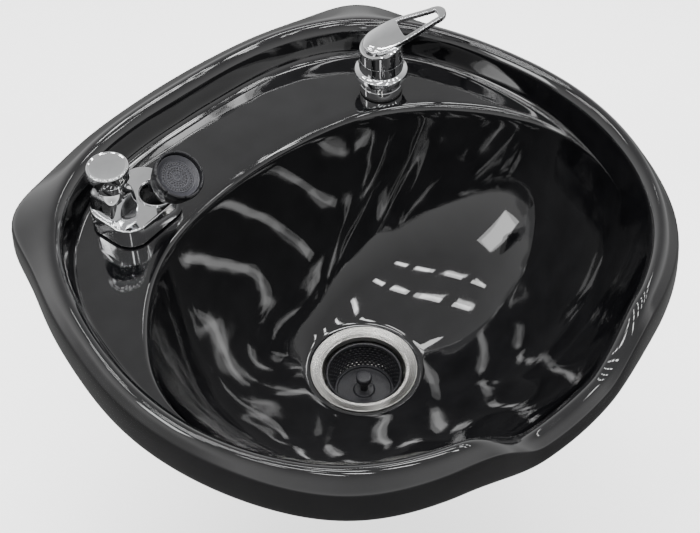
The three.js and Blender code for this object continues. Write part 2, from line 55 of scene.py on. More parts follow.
# ---------- driving dimensions ----------
# Millimetres and degrees, +Z up, +Y towards the wall, from the centre of the bracket's rear face.
MM = 0.001                     # one of them in Blender's metres
GAP = 0.3                      # clearance between pieces that touch
RIM_Z = 110                    # crest of the rim
DECK_Z = RIM_Z - 36            # top of the rear deck
DRAIN_Y = -305                 # the drain's vertical axis, at x = 0
SEAT_Z = RIM_Z - 234           # where the drain's flange sits
WALL = 5                       # thickness of the basin
UNDER_DECK = DECK_Z - WALL
SKIRT_DROP = 50                # from the rim's crest to the skirt's lower edge
NECK_DROP = 42                 # how far the rim dips under the neck

FAUCET = (169, -157.5)
LEVER_TURN = -25               # where the lever points, from +X
LEVER_RISE = 15                # its slope
PLATE = {"x": -132, "y": -124, "width": 83, "depth": 66, "corner": 21, "turn": 8}
PLATE_Z = DECK_Z + 24.5        # top of the breaker's base plate
HUB = (-152, -117)             # the breaker, over its inlet
OUTLET = (-147, -147)          # the outlet shank
WELL = (-111.5, -132.5)        # the spray head's holder
SPRAY = (-112, -138, PLATE_Z - 2.5)
SPRAY_LEAN = Vector((0.119, -0.511, 0.851)).normalized()
TAIL_Z = UNDER_DECK - 34       # lower end of the breaker's shanks

SIDES = 96                     # sides of a turned piece


# ---------- materials ----------
def new_material(name):
    """A material's node tree and its shader, ready for links."""
    material = bpy.data.materials.new(name)
    material.use_nodes = True
    nodes = material.node_tree.nodes
    return material, nodes, material.node_tree.links, nodes["Principled BSDF"]


def noise(nodes, links, scale, detail=3.0, stretch=(1, 1, 1)):
    """Noise in the object's own metres, stretched along its axes."""
    coordinates = nodes.new("ShaderNodeTexCoord")
    mapping = nodes.new("ShaderNodeMapping")
    mapping.inputs["Scale"].default_value = stretch
    texture = nodes.new("ShaderNodeTexNoise")
    texture.inputs["Scale"].default_value = scale
    texture.inputs["Detail"].default_value = detail
    links.new(coordinates.outputs["Object"], mapping.inputs["Vector"])
    links.new(mapping.outputs["Vector"], texture.inputs["Vector"])
    return texture.outputs["Fac"]


def rings_about(nodes, links, x, y, scale):
    """Noise that changes only with the distance from a vertical axis, as tool marks do."""
    coordinates = nodes.new("ShaderNodeTexCoord")
    shift = nodes.new("ShaderNodeVectorMath")
    shift.operation = "SUBTRACT"
    shift.inputs[1].default_value = (x * MM, y * MM, 0)
    flat = nodes.new("ShaderNodeVectorMath")
    flat.operation = "MULTIPLY"
    flat.inputs[1].default_value = (1, 1, 0)
    length = nodes.new("ShaderNodeVectorMath")
    length.operation = "LENGTH"
    texture = nodes.new("ShaderNodeTexNoise")
    texture.noise_dimensions = "1D"
    texture.inputs["Scale"].default_value = scale
    texture.inputs["Detail"].default_value = 4
    links.new(coordinates.outputs["Object"], shift.inputs[0])
    links.new(shift.outputs[0], flat.inputs[0])
    links.new(flat.outputs[0], length.inputs[0])
    links.new(length.outputs["Value"], texture.inputs["W"])
    return texture.outputs["Fac"]


def ramp(nodes, links, factor, low, high, start=0.3, end=0.7):
    """A factor turned into a value or colour between low and high."""
    blend = nodes.new("ShaderNodeValToRGB")
    for element, position, value in zip(blend.color_ramp.elements, (start, end), (low, high)):
        element.position = position
        element.color = (*value, 1) if isinstance(value, tuple) else (value, value, value, 1)
    links.new(factor, blend.inputs["Fac"])
    return blend.outputs["Color"]


def bump(nodes, links, height, strength, distance, onto=None):
    """A bump from a height, on top of another bump if one is given."""
    node = nodes.new("ShaderNodeBump")
    node.inputs["Strength"].default_value = strength
    node.inputs["Distance"].default_value = distance
    links.new(height, node.inputs["Height"])
    if onto is not None:
        links.new(onto, node.inputs["Normal"])
    return node.outputs["Normal"]


def finish_material(name, dark, light, rough, metallic=0.0, grain=400, relief=0.1, coat=0.0,
                    wave=None):
    """A finish with mottled colour and roughness, a fine grain and, if asked, slow waves."""
    material, nodes, links, shader = new_material(name)
    mottle = noise(nodes, links, 35, 4)
    links.new(ramp(nodes, links, mottle, dark, light), shader.inputs["Base Color"])
    fine = noise(nodes, links, grain, 5)
    links.new(ramp(nodes, links, fine, rough[0], rough[1]), shader.inputs["Roughness"])
    normal = None
    if wave:
        scale, strength, distance = wave
        normal = bump(nodes, links, noise(nodes, links, scale, 1.5), strength, distance)
    normal = bump(nodes, links, fine, relief, 0.0002, normal)
    links.new(normal, shader.inputs["Normal"])
    shader.inputs["Metallic"].default_value = metallic
    shader.inputs["Coat Weight"].default_value = coat
    shader.inputs["Coat Roughness"].default_value = 0.02
    return material


def turned_metal(name, dark, light, rough, axis, scale=2500, relief=0.15):
    """Metal with the fine rings that a lathe or a polishing wheel leaves about an axis."""
    material, nodes, links, shader = new_material(name)
    marks = rings_about(nodes, links, axis[0], axis[1], scale)
    stain = noise(nodes, links, 60, 3)
    mixed = nodes.new("ShaderNodeMix")
    mixed.data_type = "RGBA"
    mixed.inputs["Factor"].default_value = 0.35
    links.new(ramp(nodes, links, marks, dark, light), mixed.inputs["A"])
    links.new(ramp(nodes, links, stain, dark, light), mixed.inputs["B"])
    links.new(mixed.outputs["Result"], shader.inputs["Base Color"])
    links.new(ramp(nodes, links, marks, rough[0], rough[1]), shader.inputs["Roughness"])
    links.new(bump(nodes, links, marks, relief, 0.0001), shader.inputs["Normal"])
    shader.inputs["Metallic"].default_value = 1
    return material


def timber_material():
    """Sawn softwood with grain along X."""
    material, nodes, links, shader = new_material("timber")
    grain = noise(nodes, links, 90, 6, (0.06, 1, 1))
    pale, brown = (0.62, 0.44, 0.27), (0.33, 0.19, 0.1)
    links.new(ramp(nodes, links, grain, brown, pale), shader.inputs["Base Color"])
    links.new(ramp(nodes, links, grain, 0.85, 0.65), shader.inputs["Roughness"])
    links.new(bump(nodes, links, grain, 0.4, 0.0006), shader.inputs["Normal"])
    return material


# Each finish runs from a dark to a light colour and from one roughness to another.
GLOSS = finish_material("gloss_shell", (0.0011, 0.0011, 0.0013), (0.0024, 0.0024, 0.0027),
                        (0.03, 0.07), grain=900, relief=0.01, coat=1.0, wave=(11, 0.16, 0.02))
CHROME = finish_material("chrome", (0.8, 0.81, 0.82), (0.92, 0.92, 0.93),
                         (0.035, 0.08), 1.0, 300, 0.02)
STAINLESS = turned_metal("stainless", (0.5, 0.49, 0.47), (0.74, 0.73, 0.7),
                         (0.2, 0.36), (0, DRAIN_Y))
BRASS = finish_material("brass", (0.5, 0.34, 0.14), (0.72, 0.53, 0.26),
                        (0.25, 0.4), 1.0, 500, 0.1)
COPPER = finish_material("copper", (0.42, 0.2, 0.12), (0.72, 0.4, 0.26),
                         (0.25, 0.45), 1.0, 250, 0.1)
ZINC = finish_material("zinc_steel", (0.4, 0.41, 0.43), (0.6, 0.61, 0.62),
                       (0.35, 0.55), 1.0, 260, 0.15)
RUBBER = finish_material("black_rubber", (0.004, 0.004, 0.004), (0.009, 0.009, 0.009),
                         (0.6, 0.8), grain=1200, relief=0.3)
PLASTIC = finish_material("black_plastic", (0.0035, 0.0035, 0.004), (0.007, 0.007, 0.008),
                          (0.24, 0.36), grain=1500, relief=0.15)
FACE_PLASTIC = finish_material("grey_plastic", (0.009, 0.009, 0.011), (0.016, 0.016, 0.019),
                               (0.26, 0.4), grain=1500, relief=0.15)
ACETAL = finish_material("acetal", (0.66, 0.65, 0.6), (0.78, 0.77, 0.73),
                         (0.4, 0.55), grain=700)
CERAMIC = finish_material("ceramic", (0.8, 0.79, 0.76), (0.88, 0.87, 0.84),
                          (0.12, 0.2), grain=900, relief=0.03)
FIBRE = finish_material("fibre", (0.3, 0.1, 0.06), (0.45, 0.17, 0.11),
                        (0.75, 0.9), grain=1800, relief=0.4)
TIMBER = timber_material()


# ---------- mesh tools ----------
def mesh_object(name, vertices, faces, matrix=None):
    """A shown mesh from points in millimetres, moved by a matrix in millimetres."""
    matrix = matrix or Matrix()
    mesh = bpy.data.meshes.new(name)
    mesh.from_pydata([(matrix @ Vector(point)) * MM for point in vertices], [], faces)
    mesh.validate()
    fixed = bmesh.new()
    fixed.from_mesh(mesh)
    bmesh.ops.remove_doubles(fixed, verts=fixed.verts, dist=1e-7)
    bmesh.ops.recalc_face_normals(fixed, faces=fixed.faces)
    fixed.to_mesh(mesh)
    fixed.free()
    obj = bpy.data.objects.new(name, mesh)
    bpy.context.collection.objects.link(obj)
    return obj


def shade(obj, angle=30):
    """Shades an object smooth, but for its sharp edges."""
    obj.data.shade_smooth()
    obj.data.set_sharp_from_angle(angle=math.radians(angle))


def round_edges(obj, width, segments, angle):
    """Rounds the edges that are sharper than an angle."""
    bevel = obj.modifiers.new("edges", "BEVEL")
    bevel.width = width * MM
    bevel.segments = segments
    bevel.limit_method = "ANGLE"
    bevel.angle_limit = math.radians(angle)
    return bevel


def soften(obj, width=0.4):
    """Rounds an object's sharp edges and shades it smooth between them."""
    shade(obj)
    if width:
        round_edges(obj, width, 3, 30).harden_normals = True
    return obj


def joined(rows, columns, closed=True):
    """Faces between rows of points, each row a loop; the last row meets the first if closed."""
    faces = []
    for row in range(rows if closed else rows - 1):
        here, there = row * columns, (row + 1) % rows * columns
        for i in range(columns):
            k = (i + 1) % columns
            faces.append((here + i, here + k, there + k, there + i))
    return faces


def dress(obj, material, body, *nodes):
    """Gives a piece its finish, the body that it rides on and the CAD nodes that it stands for."""
    obj.data.materials.append(material)
    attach(obj, body)
    if nodes:
        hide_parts(*nodes)
    return obj


def turned(name, outline, matrix=None, sides=SIDES, edge=0.4):
    """A solid of revolution about Z from a [radius, height] outline."""
    hollow = outline[0][0] > 0
    count = len(outline)
    vertices, faces = [], []
    for step in range(sides):
        angle = 2 * math.pi * step / sides
        vertices += [(r * math.cos(angle), r * math.sin(angle), z) for r, z in outline]
    for step in range(sides):
        here, there = step * count, (step + 1) % sides * count
        for i in range(count if hollow else count - 1):
            j = (i + 1) % count
            faces.append((here + i, here + j, there + j, there + i))
    if not hollow:
        vertices = [(0, 0, outline[i % count][1]) if outline[i % count][0] == 0 else v
                    for i, v in enumerate(vertices)]
    return soften(mesh_object(name, vertices, faces, matrix), edge)


def ring(name, inner, outer, low, high, matrix=None, edge=0.3):
    """A washer about Z."""
    outline = [(inner, low), (outer, low), (outer, high), (inner, high)]
    return turned(name, outline, matrix, edge=edge)


def puck(radius, low, high):
    """Outline of a plain round disc."""
    return [(0, low), (radius, low), (radius, high), (0, high)]


def thread(low, high, outer, pitch=1.6, depth=0.7):
    """Outline points of a screw thread's flank, from low to high."""
    turns = int((high - low) / pitch)
    points = []
    for turn in range(turns):
        z = low + turn * pitch
        points += [(outer - depth, z), (outer, z + pitch / 2)]
    return points + [(outer - depth, low + turns * pitch)]


def prism(name, outline, low, high, matrix=None, edge=0.5, holes=()):
    """A prism of a plan outline, with other outlines cut out of it."""
    mesh = bmesh.new()
    for loop in (outline, *holes):
        corners = [mesh.verts.new((x, y, low)) for x, y in loop]
        for i, corner in enumerate(corners):
            mesh.edges.new((corner, corners[(i + 1) % len(corners)]))
    bmesh.ops.triangle_fill(mesh, edges=mesh.edges[:], use_beauty=True)
    bmesh.ops.dissolve_limit(mesh, angle_limit=0.01, verts=mesh.verts[:], edges=mesh.edges[:])
    made = bmesh.ops.extrude_face_region(mesh, geom=mesh.faces[:])
    lifted = [item for item in made["geom"] if isinstance(item, bmesh.types.BMVert)]
    bmesh.ops.translate(mesh, verts=lifted, vec=(0, 0, high - low))
    mesh.verts.index_update()
    vertices = [tuple(vertex.co) for vertex in mesh.verts]
    faces = [tuple(vertex.index for vertex in face.verts) for face in mesh.faces]
    mesh.free()
    return soften(mesh_object(name, vertices, faces, matrix), edge)


def circle(radius, x=0.0, y=0.0, sides=48):
    """Plan points of a circle."""
    steps = [2 * math.pi * i / sides for i in range(sides)]
    return [(x + radius * math.cos(a), y + radius * math.sin(a)) for a in steps]


def hex_nut(name, hole, across, low, high, matrix=None, sides=6):
    """A nut with chamfered corners."""
    corner_radius = across / 2 / math.cos(math.pi / sides)
    return prism(name, circle(corner_radius, sides=sides), low, high, matrix, 0.7, [circle(hole)])


def rectangle(half_x, half_y):
    """Plan points of a rectangle."""
    return [(-half_x, -half_y), (half_x, -half_y), (half_x, half_y), (-half_x, half_y)]


def rounded_rectangle(width, depth, radius, steps=12):
    """Plan points of a rectangle with round corners."""
    points = []
    for quarter in range(4):
        cx = (width / 2 - radius) * (1 if quarter in (0, 3) else -1)
        cy = (depth / 2 - radius) * (1 if quarter < 2 else -1)
        for step in range(steps + 1):
            angle = (quarter + step / steps) * math.pi / 2
            points.append((cx + radius * math.cos(angle), cy + radius * math.sin(angle)))
    return points


def tube(name, points, radius):
    """A round tube along a smooth run of points."""
    curve = bpy.data.curves.new(name, "CURVE")
    curve.dimensions = "3D"
    curve.bevel_depth = radius * MM
    curve.bevel_resolution = 8
    curve.resolution_u = 12
    curve.use_fill_caps = True
    spline = curve.splines.new("NURBS")
    spline.points.add(len(points) - 1)
    for target, point in zip(spline.points, points):
        target.co = (*(Vector(point) * MM), 1)
    spline.use_endpoint_u = True
    spline.order_u = 4
    holder = bpy.data.objects.new(name, curve)
    bpy.context.collection.objects.link(holder)
    depsgraph = bpy.context.evaluated_depsgraph_get()
    mesh = bpy.data.meshes.new_from_object(holder.evaluated_get(depsgraph))
    bpy.data.objects.remove(holder)
    obj = bpy.data.objects.new(name, mesh)
    bpy.context.collection.objects.link(obj)
    return soften(obj, 0)


def at(x, y, z=0.0, turn=0.0):
    """A place on the unit, turned about Z."""
    return Matrix.Translation((x, y, z)) @ Matrix.Rotation(math.radians(turn), 4, "Z")


def subdivide(obj, levels=2):
    """Smooths a cage into its limit surface."""
    obj.data.shade_smooth()
    surface = obj.modifiers.new("surface", "SUBSURF")
    surface.levels = levels
    surface.render_levels = levels
    return obj


# ---------- basin ----------
# Control radii about the drain, one every CURVE_STEP degrees from the wall side to the neck.
# Both sides are alike.
CURVE_STEP = 15
OUTLINE = [296, 302, 322, 322, 312, 298, 300, 300, 303, 309, 295, 283, 282]          # skirt
CREST = [266, 275, 291, 297, 288, 280, 282, 285, 286, 286, 276, 268, 264]            # rim
FOOT = [248, 257, 272, 281, 277, 266, 264, 264, 266, 266, 258, 250, 243]             # inside it
DECK_WIDTH = [98, 104, 109, 98, 74, 42, 11, 0, 0, 0, 0, 0, 0]                        # radial
FLOOR = [128, 132, 142, 155, 172, 190, 205, 215, 218, 218, 212, 200, 194]            # bowl
FLOOR_DROP = [197, 197, 196, 194, 192, 189, 186, 183, 182, 182, 184, 187, 188]       # its depth
CORNER_ANGLE, CORNER_REACH, CORNER_SPREAD = 43, 24, 8    # the rear corners' bulge
NECK_FROM, NECK_TO = 154, 171                            # angles between which the rim dips
DECK_DIP, SKIRT_DIP = 34, 18                             # how far ledge and skirt dip there
BOWL_STEPS = [0.14, 0.27, 0.39, 0.5, 0.6, 0.7, 0.79, 0.88, 0.955]     # seat to lip
SECTIONS_BACK, BACK_STEP = 30, 5
SECTIONS_NECK, NECK_STEP = 13, 2.5


def on_curve(values, degrees):
    """The value at an angle of a cubic spline given by its control values."""
    position = abs(degrees) / CURVE_STEP
    first = int(position)
    t = position - first
    weights = (
        (1 - t) ** 3,
        3 * t ** 3 - 6 * t ** 2 + 4,
        -3 * t ** 3 + 3 * t ** 2 + 3 * t + 1,
        t ** 3,
    )
    end = len(values) - 1
    total = 0
    for k, weight in enumerate(weights):
        index = abs(first - 1 + k)
        total += weight * values[2 * end - index if index > end else index]
    return total / 6


def smoothstep(value, low, high):
    """0 below low, 1 above high and smooth between."""
    t = min(max((value - low) / (high - low), 0), 1)
    return t * t * (3 - 2 * t)


def mix(a, b, t):
    """A point between two [radius, height] points."""
    return (a[0] + (b[0] - a[0]) * t, a[1] + (b[1] - a[1]) * t)


def section(degrees):
    """Control points [radius, drop below the crest] of the basin's section, drain to skirt."""
    angle = abs(degrees)
    corner = math.exp(-(((angle - CORNER_ANGLE) / CORNER_SPREAD) ** 2))
    outer = on_curve(OUTLINE, angle) + CORNER_REACH * corner
    crest = on_curve(CREST, angle)
    foot = on_curve(FOOT, angle)
    width = on_curve(DECK_WIDTH, angle)
    neck = smoothstep(angle, NECK_FROM, NECK_TO)
    crest_z = -NECK_DROP * neck
    deck_z = DECK_Z - RIM_Z - DECK_DIP * neck
    seat_z = SEAT_Z - RIM_Z
    seat_edge = (67, seat_z + 2)
    floor = (on_curve(FLOOR, angle), -on_curve(FLOOR_DROP, angle))
    lip = (foot - width, deck_z)
    bowl = [mix(mix(seat_edge, floor, t), mix(floor, lip, t), t) for t in BOWL_STEPS]
    foot_point = (foot, deck_z)
    ledge = (crest - 9, crest_z - 5)
    brow = (crest + 4, crest_z + 1)
    shoulder = (outer - 3.5, -14 + 0.9 * (crest_z + 2) * neck)
    bottom_z = -SKIRT_DROP - SKIRT_DIP * neck
    return [
        (47, seat_z), (50, seat_z), (57, seat_z), (62, seat_z), seat_edge,
        *bowl, lip,
        (lip[0] + min(10, width * 0.3), deck_z), (lip[0] + width / 2, deck_z),
        (foot - min(8, width * 0.3), deck_z), foot_point,
        mix(foot_point, ledge, 0.35), mix(foot_point, ledge, 0.8), ledge,
        (crest - 3, crest_z + 1.5), brow,
        mix(brow, shoulder, 0.5), mix(brow, shoulder, 0.85), shoulder,
        (outer - 2, shoulder[1] - 7), (outer - 1, (shoulder[1] + bottom_z) / 2), (outer, bottom_z),
    ]


def section_angles():
    """The sections' angles, closer together round the neck."""
    start = BACK_STEP * SECTIONS_BACK
    half = [BACK_STEP * i for i in range(SECTIONS_BACK)]
    half += [start + NECK_STEP * i for i in range(SECTIONS_NECK)]
    return half + [-angle for angle in reversed(half[1:-1])]


def basin():
    """The shell's cage: the upper surface, and the same surface one wall lower."""
    top = []
    for degrees in section_angles():
        angle = math.radians(degrees)
        top.append([Vector((r * math.sin(angle), DRAIN_Y + r * math.cos(angle), RIM_Z + z))
                    for r, z in section(degrees)])
    count, rows = len(top), len(top[0])
    rings = []
    for i, row in enumerate(top):
        under = []
        for j, point in enumerate(row):
            along = row[min(j + 1, rows - 1)] - row[max(j - 1, 0)]
            around = top[(i + 1) % count][j] - top[i - 1][j]
            under.append(point + along.cross(around).normalized() * WALL)
        rings.append(row + under[::-1])
    vertices = [point for points in rings for point in points]
    shell = subdivide(mesh_object("basin", vertices, joined(count, len(rings[0]))), 2)
    dress(shell, GLOSS, "basin", "bowl_shell")


# ---------- drain ----------
def drain():
    """Strainer body with its flange, and the fittings that clamp it to the basin."""
    place = at(0, DRAIN_Y, SEAT_Z)
    under = -WALL - GAP
    body = turned("strainer", [
        (19, -78), *thread(-78, -56, 22), (22, -54), (45.5, -46), (45.5, 0.5),
        (56.9, 0.5), (57, 1.2), (56.9, 1.9), (56.3, 2.4), (44.7, -0.4), (44.1, -1.1),
        (43.6, -4), (42.5, -9), (42.5, -41), (19, -49),
    ], place, 128, 0.2)
    dress(body, STAINLESS, "basin", "strainer_body")
    dress(ring("gasket", 46, 58, under - 3, under, place), RUBBER, "basin", "drain_gasket")
    washer = ring("fibre_washer", 46, 59, under - 4.3, under - 3.3, place)
    dress(washer, FIBRE, "basin", "friction_washer")
    locknut = hex_nut("locknut", 46, 118, under - 16, under - 4.6, place, 8)
    dress(locknut, BRASS, "basin", "strainer_locknut")
    tail = turned("tail", [
        (17.5, -190), (18.7, -190), (18.7, -81.5), (21.5, -81.5), (21.5, -80), (17.5, -80),
    ], place)
    dress(tail, CHROME, "basin", "tailpiece")
    dress(ring("tail_seal", 18.8, 21.6, -79.7, -78.3, place), RUBBER, "basin", "tail_washer")
    slip = turned("slip", [
        (19, -88), (25, -88), (27, -86), (27, -70), (25.5, -68), (22.3, -68), (22.3, -82),
        (19, -82),
    ], place)
    press_in(slip, place, 24.5, -math.inf, grip_depth)
    dress(slip, CHROME, "basin", "slip_nut")


def press_in(obj, place, inner, low, depth):
    """Moves the points beyond a radius and above a height inwards, by a depth for each angle."""
    inverse = place.inverted()
    for vertex in obj.data.vertices:
        local = inverse @ (vertex.co / MM)
        reach = math.hypot(local.x, local.y)
        if reach > inner and local.z > low:
            scale = (reach - depth(math.atan2(local.y, local.x))) / reach
            vertex.co = (place @ Vector((local.x * scale, local.y * scale, local.z))) * MM


def grip_depth(angle):
    """Depth of the slip nut's twelve grip flats."""
    return 1.6 * (0.5 + 0.5 * math.cos(12 * angle))


BASKET_FLOOR = -38             # from the drain's seat


def basket():
    """The lift-out basket: a perforated cup with a rim, a ringed floor and a knob."""
    place = at(0, DRAIN_Y, SEAT_Z)
    on_floor = at(0, DRAIN_Y, SEAT_Z + BASKET_FLOOR)
    sides, rows = 88, 17
    vertices, faces = [], []
    for row in range(rows + 1):
        t = row / rows
        radius, height = mix((39.4, -9.5), (33.2, BASKET_FLOOR + 1), t)
        for step in range(sides):
            angle = 2 * math.pi * (step + 0.5 * (row // 2 % 2)) / sides
            vertices.append((radius * math.cos(angle), radius * math.sin(angle), height))
    for row in range(rows):
        for step in range(sides):
            is_hole = row % 2 == 1 and (step + row // 2) % 2 == 0
            if not is_hole:
                here, there = row * sides, (row + 1) * sides
                after = (step + 1) % sides
                faces.append((here + step, here + after, there + after, there + step))
    wall = mesh_object("basket", vertices, faces, place)
    skin = wall.modifiers.new("skin", "SOLIDIFY")
    skin.thickness = 1.4 * MM
    skin.offset = 0
    subdivide(wall, 1)
    dress(wall, PLASTIC, "basket", "strainer_basket")
    rim = turned("basket_rim", [
        (37.2, -8.5), (39.3, -10), (40.8, -8), (40.8, -6.4), (40, -5.6), (38.4, -5.8),
    ], place, 128, 0.2)
    dress(rim, PLASTIC, "basket")
    floor = turned("basket_floor", [
        (4.3, 0), (33, 0), (34, 1.2), (31.5, 4.5), (29.5, 4.5), (28.6, 2), (12, 2), (10.5, 4),
        (4.3, 4.6),
    ], on_floor, 96, 0.3)
    dress(floor, PLASTIC, "basket")
    dress(ring("seal", 21, 28, -3.5, -GAP, on_floor), RUBBER, "basket", "basket_seal")
    knob = turned("knob", [
        (0, -6), (4, -6), (4, 8), (5, 16), (7.6, 18), (8.5, 20), (8.5, 24), (7.4, 25.6), (5, 26),
        (0, 25.4),
    ], on_floor, 48, 0.2)
    dress(knob, PLASTIC, "basket", "basket_knob")


# ---------- faucet ----------
RISER = 20.5                   # top of the riser, over the deck
PIVOT = 44                     # the seam under the turning cap, over the deck
CAP_R = 22.7
CAP_PLANE = 19                 # the cap's sloping top, along the lever's own normal
CAP_SIDES = 96
# Radius of each loop of the cap, and how far it lies under the sloping top; None is at the seam.
# Radius 0 stands for the edge of the oval hole.
CAP_LOOPS = (
    (CAP_R - 0.3, None), (CAP_R, None), (CAP_R, 2.4), (CAP_R - 0.5, 1), (CAP_R - 1.5, 0.2),
    (CAP_R - 2.6, 0), (0, 0), (0, 3), (CAP_R - 3, 3), (CAP_R - 3, None),
)


def faucet():
    """The fixed part of the faucet above and below the deck."""
    place = at(*FAUCET, DECK_Z)
    under = -WALL - GAP
    dress(ring("deck_seal", 15.6, 22.5, GAP, 1.7, place), RUBBER, "basin", "faucet_gasket")
    riser = turned("riser", [
        (15.6, 2), (21.8, 2), (22.4, 2.6), (22.4, 11.2), (22, 11.6), (22, 12.2), (22.4, 12.6),
        (22.4, RISER), (15.6, RISER),
    ], place, edge=0.15)
    dress(riser, CHROME, "basin", "faucet_escutcheon")
    low = RISER + GAP
    body = turned("faucet_core", [
        (15.6, low), (27.2, low), (28, low + 0.9), (28, low + 7), (27.5, low + 8),
        (23.6, low + 9.9), (22.9, low + 10.6), (22.7, low + 11.8),
        (CAP_R, PIVOT - 0.5), (17.3, PIVOT - 0.5),
        (17.3, PIVOT - 14), (15.6, PIVOT - 14),
    ], place, 128, 0.15)
    dress(body, CHROME, "basin", "faucet_body")
    cartridge = turned("cartridge", puck(15, PIVOT - 13.2, PIVOT - 8), place)
    dress(cartridge, ACETAL, "basin", "cartridge_body")
    nut = ring("cartridge_ring", 12.6, 16.9, PIVOT - 7.7, PIVOT - 2.6, place)
    dress(nut, BRASS, "basin", "cartridge_nut")
    lower = turned("lower_disc", puck(11.5, PIVOT - 7.7, PIVOT - 5.6), place, edge=0.2)
    dress(lower, CERAMIC, "basin", "fixed_disc")
    top = PIVOT - 13.6
    shank = turned("shank", [
        (11.8, -42), *thread(-42, -6, 15), (15, -5), (15, top - 0.8), (14, top), (0, top),
        (0, top - 5), (11.8, top - 5),
    ], place, edge=0)
    dress(shank, BRASS, "basin", "faucet_shank")
    dress(ring("big_washer", 15.5, 23.5, under - 1.6, under, place), ZINC, "basin", "shank_washer")
    dress(hex_nut("big_nut", 15.5, 40, under - 12, under - 2, place), BRASS, "basin", "shank_nut")


def lever_matrix(tilt):
    """The lever's own axes: +X along it, on the faucet's axis at the seam under the cap."""
    return at(*FAUCET, DECK_Z + PIVOT, LEVER_TURN) @ Matrix.Rotation(-math.radians(tilt), 4, "Y")


def slope(x, height):
    """Height over the seam of a plane that rises like the lever."""
    rise = math.radians(LEVER_RISE)
    return (height + x * math.sin(rise)) / math.cos(rise)


def faucet_cap():
    """The turning cap: an upright wall under a sloping top with a hole for the lever's stem."""
    vertices = []
    for radius, drop in CAP_LOOPS:
        seam = 0.1 if radius == CAP_R else -0.2
        for i in range(CAP_SIDES):
            angle = 2 * math.pi * i / CAP_SIDES
            if radius:
                x, y = radius * math.cos(angle), radius * math.sin(angle)
            else:
                x, y = 1.5 + 8.4 * math.cos(angle), 5.5 * math.sin(angle)
            vertices.append((x, y, seam if drop is None else slope(x, CAP_PLANE - drop)))
    faces = joined(len(CAP_LOOPS), CAP_SIDES)
    cap = mesh_object("sloping_cap", vertices, faces, lever_matrix(0))
    dress(cap, CHROME, "swivel", "faucet_dome")


LEVER_TIP = 79
TIP_R = 9
LEVER_HEEL, HEEL_R = 4.5, 18.5           # centre and radius of the lever's round heel
LOOP_START, LOOP_END = 28, 70
RAIL = 4.8                               # width of the rails beside the loop
LEVER_ROWS = [-14, -13, -10, -5, 0, 7, 14, 20, 25, LOOP_START, 32, 38, 45, 52, 58, 63, 67,
              LOOP_END, 73, 76.5, LEVER_TIP]
LEVER_COLUMNS = (-1, -0.85, -0.5, 0, 0.5, 0.85, 1)       # shares of the half width
LEVER_THICK = 5
CAGE_MARGIN = 0.7                        # what smoothing takes off the cage's outline


def lever_half_width(x):
    """Half the lever's width at a distance along it."""
    side = TIP_R + (HEEL_R - TIP_R) * (1 - smoothstep(x, 15, 80))
    if x < LEVER_HEEL:
        side = math.sqrt(max(0.0, HEEL_R ** 2 - (x - LEVER_HEEL) ** 2))
    if x > LEVER_TIP - TIP_R:
        side = TIP_R * math.sqrt(max(0.0, 1 - ((x - LEVER_TIP + TIP_R) / TIP_R) ** 2))
    return side + CAGE_MARGIN


def lever_height(x, y):
    """Height of the lever's upper surface: slightly crowned, rounded down at the heel."""
    across = min(1, abs(y / lever_half_width(x)))
    crown = 1.3 * (1 - across ** 2) * (1 - smoothstep(x, 20, 60))
    heel = HEEL_R + CAGE_MARGIN
    reach = math.hypot(x - LEVER_HEEL, y) / heel if x < LEVER_HEEL else across
    fall = 2.6 * reach ** 4 * (1 - smoothstep(x, 0, 26))
    return CAP_PLANE + 6.2 + crown - fall


def lever():
    """The lever's cage: a wide heel, two rails round a long loop and a round tip."""
    vertices, faces = [], []
    for x in LEVER_ROWS:
        half = lever_half_width(x)
        in_loop = LOOP_START <= x <= LOOP_END
        for column in LEVER_COLUMNS:
            y = half * column
            if in_loop and abs(column) == 0.5:
                y = math.copysign(half - RAIL, column)
            if in_loop and abs(column) == 0.85:
                y = math.copysign(half - RAIL * 0.35, column)
            vertices.append((x, y, lever_height(x, y)))
    wide = len(LEVER_COLUMNS)
    for row in range(len(LEVER_ROWS) - 1):
        open_loop = LOOP_START <= LEVER_ROWS[row] and LEVER_ROWS[row + 1] <= LOOP_END
        for column in range(wide - 1):
            if not (open_loop and column in (2, 3)):
                a = row * wide + column
                faces.append((a, a + 1, a + wide + 1, a + wide))
    blade = mesh_object("blade", vertices, faces, lever_matrix(LEVER_RISE))
    skin = blade.modifiers.new("skin", "SOLIDIFY")
    skin.thickness = LEVER_THICK * MM
    skin.offset = -1
    skin.edge_crease_inner = 0.9
    skin.edge_crease_outer = 0.35
    subdivide(blade, 3)
    dress(blade, CHROME, "handle", "lever")
    stem = turned("stem", [
        (0, 2.5), (4, 2.5), (4, CAP_PLANE - 0.5), (3.5, CAP_PLANE), (0, CAP_PLANE),
    ], lever_matrix(LEVER_RISE))
    dress(stem, STAINLESS, "handle", "lever_stem")
    disc = turned("upper_disc", puck(9, -5.3, -3.2), lever_matrix(0), edge=0.2)
    dress(disc, CERAMIC, "disc", "moving_disc")


def supplies():
    """Copper supply tails with brass unions."""
    for name, side, length in (("hot", -1, 146), ("cold", 1, 172)):
        place = at(FAUCET[0] + side * 6.4, FAUCET[1] - 3, DECK_Z)
        top = PIVOT - 19.5
        tail = turned(f"{name}_pipe", puck(4.5, -length, top), place, 32, 0)
        dress(tail, COPPER, "basin", f"{name}_tail")
        union = hex_nut(f"{name}_nut", 4.8, 12, -length - 16, -length + 4, place)
        dress(union, BRASS, "basin", f"{name}_union")


